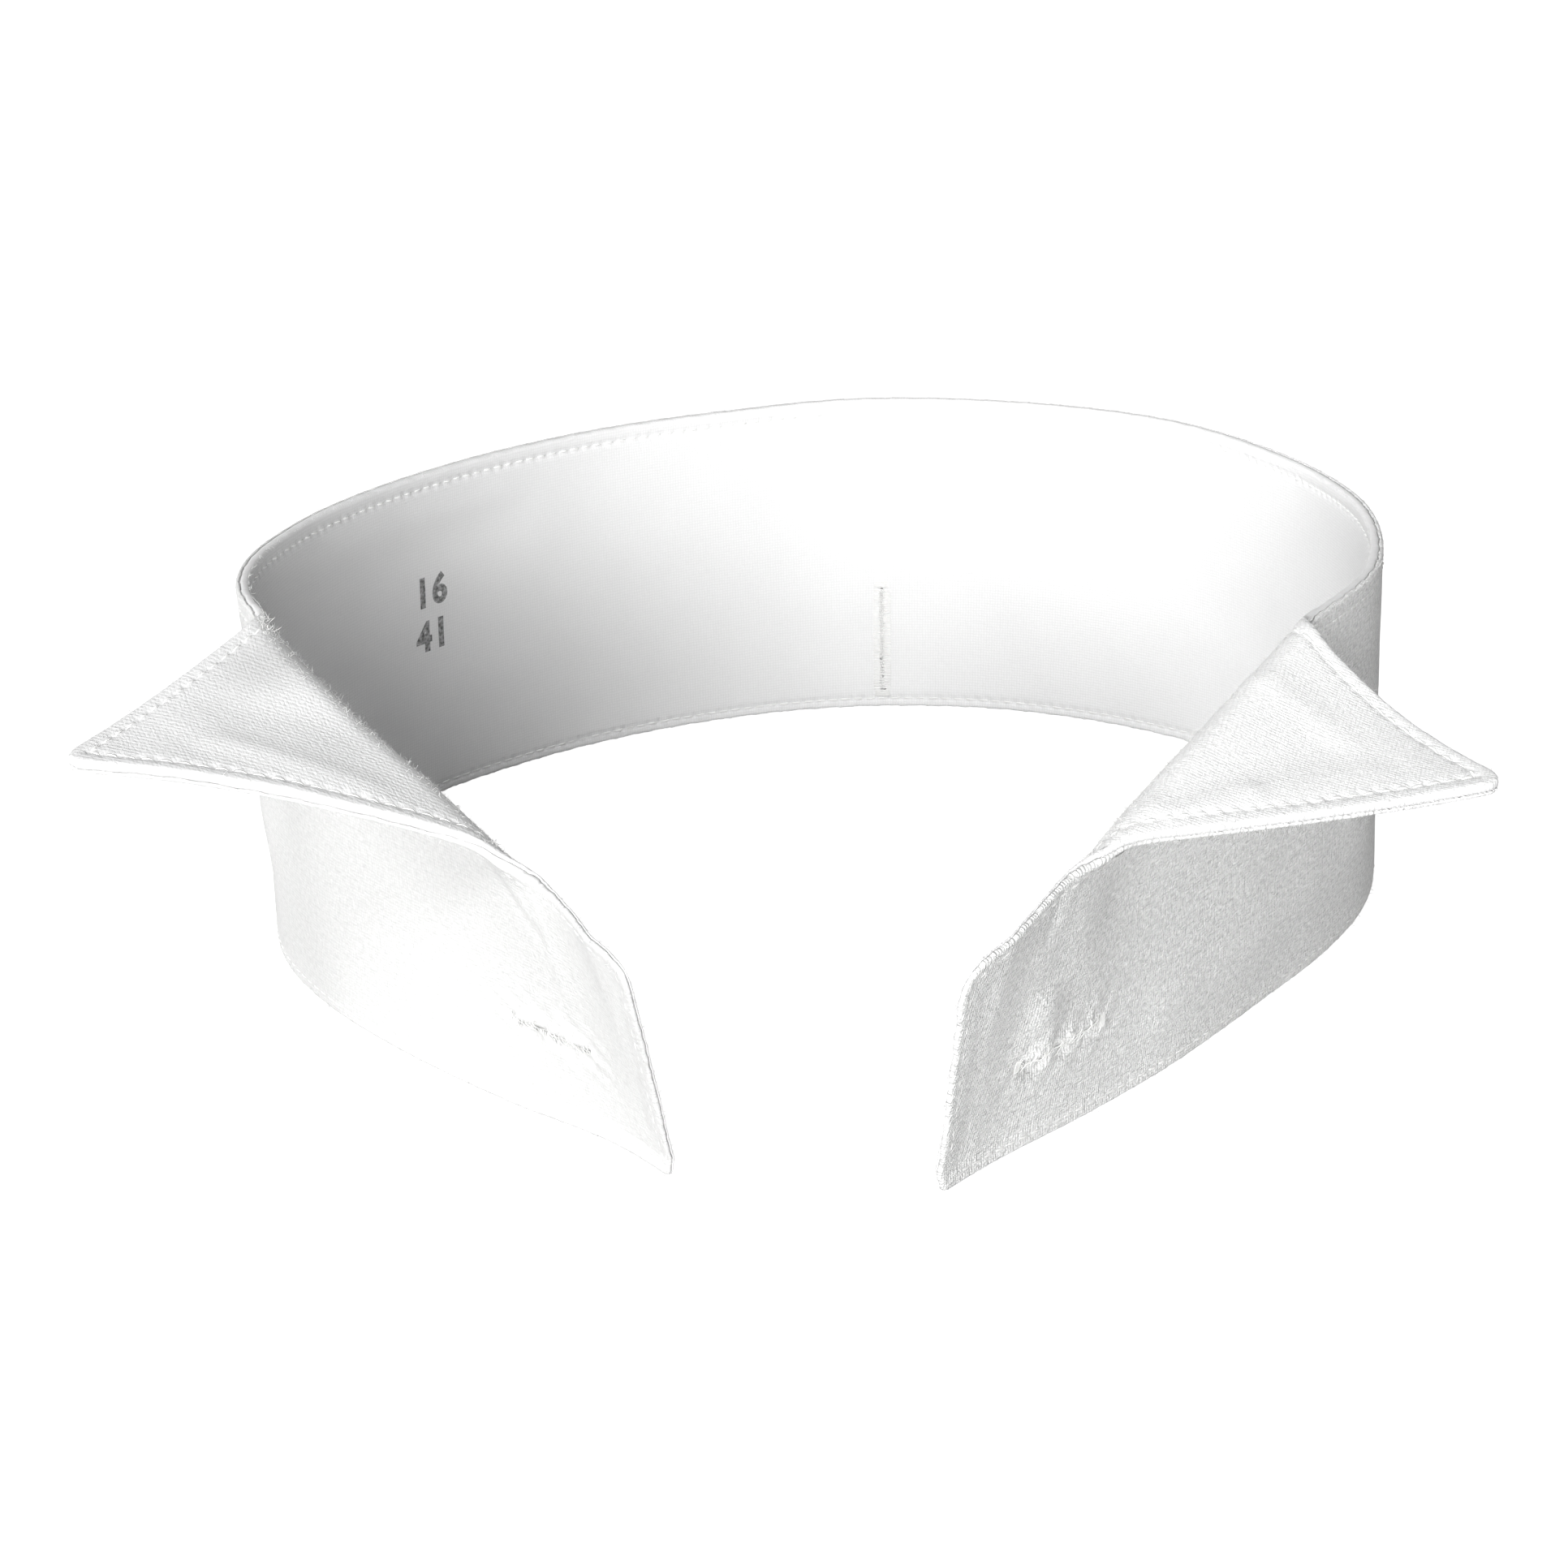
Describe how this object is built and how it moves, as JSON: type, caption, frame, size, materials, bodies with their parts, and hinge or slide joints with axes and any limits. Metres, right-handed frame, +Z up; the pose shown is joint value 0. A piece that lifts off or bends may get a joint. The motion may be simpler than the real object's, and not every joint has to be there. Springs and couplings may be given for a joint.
{
  "type": "detachable wing collar",
  "caption": "Stiff white cotton wing collar, standing as worn: a tall open band with turned-out points and stud slits at the back and in both front tabs.",
  "frame": {"origin": "centre of the bounding box, on the surface that the collar stands on", "axes": "+Z up, +Y to the back of the neck, so the open front with its two points faces -Y; +X is the right-hand side seen from the front"},
  "size_m": [0.1606, 0.1802, 0.0523],
  "materials": {
    "outer_cotton": "stiff starched plain-weave cotton, nearly white and matt",
    "inner_cotton": "the same stiff plain-weave cotton, on the inside of the band and the top of the points"
  },
  "bodies": {
    "root": {"outer_ply": "outer_cotton", "inner_ply": "inner_cotton"}
  },
  "joints": []
}
